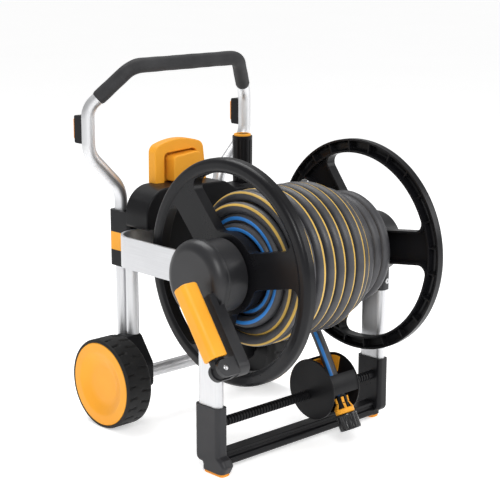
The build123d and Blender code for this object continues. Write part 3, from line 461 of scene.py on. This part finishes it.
# turns wound so far, and the angle of the yellow stripe from straight outwards, towards +X
STRIPE_TURN = [
    (0.0, 90), (15.0, 90), (26.0, 60), (28.0, 50), (29.0, 22), (33.0, -20), (34.6, -55), (35.5, -45),
    (36.5, -5), (37.5, 14), (41.0, 20), (42.0, 30), (43.0, 50), (44.0, 58),
]
FIRST_ANGLE = radians(-90)
LAST_TURN = WINDING[-1][0]

winding_points = []
count = int(LAST_TURN * POINTS_PER_TURN) - 1
# a spline passes inside its control points by this share of the radius
outside = 1 / cos(pi / POINTS_PER_TURN)
for i in range(count + 1):
    t = i / POINTS_PER_TURN
    x, radius = along_table(WINDING, t)
    angle = FIRST_ANGLE - 2 * pi * t
    reach = radius * (outside if i else 1.0)
    winding_points.append(at(x, reach * cos(angle), REEL_Z + reach * sin(angle)))
end_point = at(*LEAVES_COIL)
winding_points.append(end_point - LEAVING_DIRECTION * LEAVING_STRAIGHT)
winding_points.append(end_point)

coil_path = nurbs_path("coil_route", winding_points, 4)
axis_point = at(0, 0, REEL_Z)


def outward_at(point):
    """The direction straight away from the reel's axis."""
    return Vector((0, point.y - axis_point.y, point.z - axis_point.z)).normalized()


turned_so_far = 0.0
coil_turns = []
before = None
for point in coil_path:
    out = outward_at(point)
    angle = atan2(out.z, out.y)
    if before is not None:
        turned_so_far += (before - angle) % (2 * pi) / (2 * pi)
    coil_turns.append(turned_so_far)
    before = angle
coil_stripes = [radians(along_table(STRIPE_TURN, t)[0]) for t in coil_turns]
wound_hose = hose_tube(
    "wound_hose", coil_path, [outward_at(p) for p in coil_path], coil_stripes,
    HOSE_DIAMETER / 2, "reel",
)
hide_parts("hose_coil")

# ---------------------------------------------------------------- the hose through its guide

HOSE_ROUTE = [
    LEAVES_COIL, (68, 28, 215.5), (63.5, 2, 185), (58.5, -21, 157), (55, -42, 127), (55.5, -60, 91),
]
run_path = nurbs_path("run_route", [at(*p) for p in HOSE_ROUTE], 12)
first_out = outward_at(run_path[0])
run_hose = hose_tube(
    "guided_hose", run_path, [first_out] * len(run_path), [coil_stripes[-1]] * len(run_path),
    HOSE_DIAMETER / 2, None,
)
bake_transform(run_hose)
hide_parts("hose_run")

# the connector on its end: a fluted sleeve, and release tabs round the nut above its ring
CONNECTOR_AXIS = Vector((0.0124, -0.4472, -0.8944))
CONNECTOR_START = at(*HOSE_ROUTE[-1])
FLUTES = 14
FLUTE_DEPTH = 0.9
FLUTES_FROM, FLUTES_TO = 36.5, 60.5


def fluted(along, turn):
    """Shallow lengthwise grooves between the sleeve's plain ends."""
    if not FLUTES_FROM < along < FLUTES_TO:
        return 0.0
    return -FLUTE_DEPTH * max(0.0, cos(FLUTES * turn)) ** 0.5


SLEEVE = [
    (33.0, 9.2), (33.0, 18.6), (33.6, 19.6), (34.6, 20.2), (36.4, 20.2), (36.9, 20.2), (60.1, 20.2),
    (60.6, 20.2), (62.8, 20.2), (63.6, 19.6), (64.0, 18.6), (64.0, 11.6), (62.6, 10.4), (58.0, 9.6),
]
sleeve = turned(
    "fluted_connector_sleeve", CONNECTOR_START, CONNECTOR_AXIS, (0, -1, 0), SLEEVE, GLOSS, "guide",
    168, fluted, True,
)
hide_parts("connector_sleeve")

# each tab's sections: distance from the axis, width, and distance along it
TAB = [(13.5, 5.2, 2.2), (12.6, 4.8, 14.0), (15.8, 4.8, 21.0), (17.6, 5.6, 24.2)]
TABS = 6
TAB_HALF_THICK = 1.1
to_front = Vector((0, -1, 0))
connector_out = (to_front - CONNECTOR_AXIS * to_front.dot(CONNECTOR_AXIS)).normalized()
connector_side = CONNECTOR_AXIS.cross(connector_out)
for i in range(TABS):
    turn = 2 * pi * (i + 0.5) / TABS
    out = connector_out * cos(turn) + connector_side * sin(turn)
    side = CONNECTOR_AXIS.cross(out)
    tab_points = []
    for reach, width, along in TAB:
        for across, lift in ((-0.5, -1), (0.5, -1), (0.5, 1), (-0.5, 1)):
            place = CONNECTOR_AXIS * along + out * (reach + lift * TAB_HALF_THICK) + side * (width * across)
            tab_points.append(CONNECTOR_START + place / MM)
    tab_faces = bridge(len(TAB), 4)
    tab_faces += [(3, 2, 1, 0), tuple(range(len(tab_points) - 4, len(tab_points)))]
    tab = piece(f"connector_tab_{i + 1}", tab_points, tab_faces, ORANGE, "guide")
    soften = tab.modifiers.new("soften", "BEVEL")
    soften.width = 0.0006
    soften.segments = 2

# ---------------------------------------------------------------- rod, tyres and foam


def handle_line(corners, radius, step):
    """The middle line of the bent handle tube inside the foam grip: straight runs and bends, in metres."""
    path = [corners[0]]
    for before, corner, after in zip(corners, corners[1:], corners[2:]):
        back = (before - corner).normalized()
        on = (after - corner).normalized()
        half = back.angle(on) / 2
        length = radius / (sin(half) / cos(half))
        start, end = corner + back * length, corner + on * length
        centre = corner + (back + on).normalized() * (radius / sin(half))
        sweep = pi - 2 * half
        pieces_in_arc = ceil(sweep * radius / step)
        first, last = start - centre, end - centre
        for i in range(pieces_in_arc + 1):
            share = i / pieces_in_arc
            weight_last = sin(sweep * share) / sin(sweep)
            weight_first = sin(sweep * (1 - share)) / sin(sweep)
            path.append(centre + first * weight_first + last * weight_last)
    path.append(corners[-1])
    even = [path[0]]
    for point in path[1:]:
        gap = point - even[-1]
        parts = max(1, round(gap.length / step))
        start = even[-1]
        even.extend(start + gap * (i / parts) for i in range(1, parts + 1))
    return even


# the guide rod's teeth, cut into its round section between smooth ends
ROD_R = 9.0
TOOTH_PITCH = 7.0
TOOTH_DEPTH = 2.2
rod_low, rod_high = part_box("guide_rod")
rod_centre = (rod_low + rod_high) / 2
rod_half = (rod_high.x - rod_low.x) * MM / 2
SMOOTH_ENDS = 20
tooth_count = int((2 * rod_half - SMOOTH_ENDS) / TOOTH_PITCH)
rod_profile = [(-rod_half, ROD_R - 0.2)]
for i in range(tooth_count):
    start = (i - tooth_count / 2) * TOOTH_PITCH
    rod_profile += [
        (start, ROD_R - 0.05), (start + 0.5, ROD_R - TOOTH_DEPTH), (start + 3.3, ROD_R - TOOTH_DEPTH),
        (start + 3.8, ROD_R - 0.05),
    ]
rod_profile += [(rod_half, ROD_R - 0.2)]
rod = turned(
    "toothed_guide_rod", rod_centre, (1, 0, 0), (0, -1, 0), rod_profile, BLACK, "frame"
)
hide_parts("guide_rod")

# tyres with lateral notches from both shoulders, offset from one side to the other
TREAD_PITCH = radians(15)
NOTCH_SHARE = 0.17
NOTCH_DEPTH = 2.6
TYRE_STEPS = 240
TREAD_ROWS = 14
UNCUT_FROM, UNCUT_TO = 0.42, 0.58
for side_name, sign in (("left", -1), ("right", 1)):
    low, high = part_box(f"tyre_{side_name}")
    tyre_centre = (low + high) / 2
    tyre_r = (high.z - low.z) * MM / 2
    half = (high.x - low.x) * MM / 2
    tread_low, tread_high = -half + 8.5, half - 5.0
    tyre_profile = [
        (half - 9.2, tyre_r - 6.1), (half - 0.8, tyre_r - 6.1), (half, tyre_r - 5.2), (half, tyre_r - 4.0),
        (half - 1.4, tyre_r - 1.4), (half - 4.4, tyre_r),
    ]
    for i in range(TREAD_ROWS + 1):
        tyre_profile.append((tread_high + (tread_low - tread_high) * i / TREAD_ROWS, tyre_r))
    tyre_profile += [
        (-half + 4, tyre_r - 1.2), (-half + 1, tyre_r - 4.2), (-half, tyre_r - 8.2), (-half, tyre_r - 16.6),
        (half - 9.2, tyre_r - 16.6),
    ]

    def tread(along, turn):
        """A notch reaches in from each shoulder, a little slanted."""
        if not tread_low - 0.1 <= along <= tread_high + 0.1:
            return 0.0
        across = (along - tread_low) / (tread_high - tread_low)
        if UNCUT_FROM < across < UNCUT_TO:
            return 0.0
        shift = 0.5 if across > 0.5 else 0.0
        share = (turn / TREAD_PITCH + shift + 0.25 * abs(across - 0.5)) % 1.0
        return -NOTCH_DEPTH if share < NOTCH_SHARE else 0.0

    tyre = turned(
        f"treaded_tyre_{side_name}", tyre_centre, (sign, 0, 0), (0, 0, 1), tyre_profile, TYRE,
        f"wheel_{side_name}", TYRE_STEPS, tread, True,
    )
    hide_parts(f"tyre_{side_name}")

# the foam grip: a soft sleeve with rounded ends, slightly uneven along its length
FOAM_R = 14.0
HANDLE_BEND = 0.040
FOAM_STEP = 0.004
FOAM_CORNERS = [(-183, 338, 624.5), (-132, 298, 684), (132, 298, 684), (183, 338, 624.5)]
foam_path = handle_line([at(*p) for p in FOAM_CORNERS], HANDLE_BEND, FOAM_STEP)
foam_points = []
FOAM_AROUND = 36
foam_frames = frames_along(foam_path, [Vector((0, -0.5, 1))] * len(foam_path))
for i, (point, out, side) in enumerate(foam_frames):
    from_end = min(i, len(foam_path) - 1 - i) * FOAM_STEP * MM
    radius = FOAM_R + 0.3 * sin(i * 0.41) * sin(i * 0.17 + 1.0)
    if from_end < 2.0:
        radius -= 1.3 - from_end * 0.6
    for j in range(FOAM_AROUND):
        turn = 2 * pi * j / FOAM_AROUND
        foam_points.append(point + (out * cos(turn) + side * sin(turn)) * radius / MM)
foam_faces = bridge(len(foam_path), FOAM_AROUND)
last = len(foam_points) - FOAM_AROUND
foam_faces += [tuple(reversed(range(FOAM_AROUND))), tuple(range(last, len(foam_points)))]
foam_grip = piece("foam_hand_grip", foam_points, foam_faces, FOAM, "handle")
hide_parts("handle_foam")

# ---------------------------------------------------------------- small fittings

# the crank hinge's bright rivet heads, one at each end of its pin
pin_low, pin_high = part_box("grip_hinge_pin")
pin_middle = (pin_low + pin_high) / 2
PIN_HALF = 15.0
PIN_AXIS = Vector((0, -0.81915, 0.57358))
RIVET = [(-0.2, 4.4), (0.35, 4.5), (0.9, 3.9), (1.3, 2.6), (1.45, 1.2)]
for end_name, sign in (("front", 1), ("rear", -1)):
    rivet_place = pin_middle + PIN_AXIS * (sign * PIN_HALF / MM)
    turned(
        f"rivet_head_{end_name}", rivet_place, PIN_AXIS * sign, (1, 0, 0),
        RIVET, STEEL, "reel", 28,
    )

# screws in the rear cover's corners
SCREW_HEAD = [(-0.2, 4.0), (0.7, 4.0), (1.5, 3.4), (1.9, 2.4), (1.9, 1.7), (0.4, 1.5)]
cover_low, cover_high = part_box("rear_cover")
SCREW_INSET = 0.012
for column, x in (("left", cover_low.x + SCREW_INSET), ("right", cover_high.x - SCREW_INSET)):
    for row, z in (("low", cover_low.z + SCREW_INSET), ("high", cover_high.z - SCREW_INSET)):
        turned(
            f"cover_screw_{column}_{row}", Vector((x, cover_high.y, z)), (0, 1, 0), (0, 0, 1),
            SCREW_HEAD, STEEL, "frame", 24,
        )

# the nozzle's body, with a stem in the socket below and finger flutes above
nozzle_low, nozzle_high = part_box("nozzle_body")
nozzle_middle = (nozzle_low + nozzle_high) / 2
nozzle_foot = Vector((nozzle_middle.x, nozzle_middle.y, nozzle_low.z))
NOZZLE_TALL = (nozzle_high.z - nozzle_low.z) * MM
STEM_LONG = 26.3
RIM_LOW = NOZZLE_TALL - 2.0
GRIP_FLUTES = 12
GRIP_FLUTE_DEPTH = 1.3


def finger_flutes(along, turn):
    """Broad lengthwise grooves between the nozzle's plain collars."""
    if not STEM_LONG + 6.9 < along < RIM_LOW - 7.9:
        return 0.0
    return -GRIP_FLUTE_DEPTH * max(0.0, cos(GRIP_FLUTES * turn)) ** 0.6


NOZZLE = [
    (0.0, 5.0), (0.0, 8.0), (1.0, 9.0), (STEM_LONG, 9.0), (STEM_LONG, 18.4), (STEM_LONG + 0.8, 19.2),
    (STEM_LONG + 6.0, 19.4), (STEM_LONG + 7.0, 19.4), (RIM_LOW - 8.0, 19.8), (RIM_LOW - 7.0, 19.9),
    (RIM_LOW - 0.9, 20.0), (RIM_LOW, 19.2), (RIM_LOW, 17.5), (RIM_LOW - 8.0, 17.5), (RIM_LOW - 8.0, 13.0),
    (NOZZLE_TALL, 13.0), (NOZZLE_TALL, 5.0),
]
fluted_nozzle = turned(
    "fluted_nozzle_body", nozzle_foot, (0, 0, 1), (0, -1, 0), NOZZLE, BLACK, "nozzle",
    144, finger_flutes, True,
)
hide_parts("nozzle_body")

# ---------------------------------------------------------------- floor and light

floor_mesh = bpy.data.meshes.new("floor")
FLOOR_HALF = 40.0
floor_mesh.from_pydata(
    [(-FLOOR_HALF, -FLOOR_HALF, 0), (FLOOR_HALF, -FLOOR_HALF, 0), (FLOOR_HALF, FLOOR_HALF, 0),
     (-FLOOR_HALF, FLOOR_HALF, 0)],
    [], [(0, 1, 2, 3)],
)
floor_look, floor_tree, floor_shader, floor_place = new_material("pale_floor")
floor_tone = remap(floor_tree, noise(floor_tree, floor_place, 1.5, 3.0), 0.3, 0.7, 0.0, 1.0)
floor_colour = mix_colours(floor_tree, floor_tone, (0.93, 0.93, 0.93), (0.95, 0.95, 0.95))
floor_tree.links.new(floor_colour, floor_shader.inputs["Base Color"])
floor_shader.inputs["Roughness"].default_value = 0.9
floor_shader.inputs["Emission Color"].default_value = (1.0, 1.0, 1.0, 1.0)
floor_shader.inputs["Emission Strength"].default_value = 0.5
floor_mesh.materials.append(floor_look)
ground = bpy.data.objects.new("floor", floor_mesh)
bpy.context.scene.collection.objects.link(ground)

world = bpy.data.worlds.new("studio")
bpy.context.scene.world = world
world.use_nodes = True
world.node_tree.nodes["Background"].inputs["Color"].default_value = (1.0, 1.0, 1.0, 1.0)
world.node_tree.nodes["Background"].inputs["Strength"].default_value = 0.5


def soft_light(name, place, target, size, power):
    """A square area light at a place, facing a target."""
    data = bpy.data.lights.new(name, "AREA")
    data.size = size
    data.energy = power
    made = bpy.data.objects.new(name, data)
    made.location = place
    made.rotation_euler = (Vector(target) - Vector(place)).to_track_quat("-Z", "Y").to_euler()
    bpy.context.scene.collection.objects.link(made)


soft_light("key_light", (-1.6, -2.3, 2.3), (0, 0, 0.35), 1.3, 54)
soft_light("fill_light", (2.2, -2.0, 1.5), (0, 0, 0.35), 1.6, 24)
soft_light("top_light", (0.2, 0.9, 2.6), (0, 0, 0.35), 1.8, 45)
bpy.context.scene.view_settings.view_transform = "Standard"
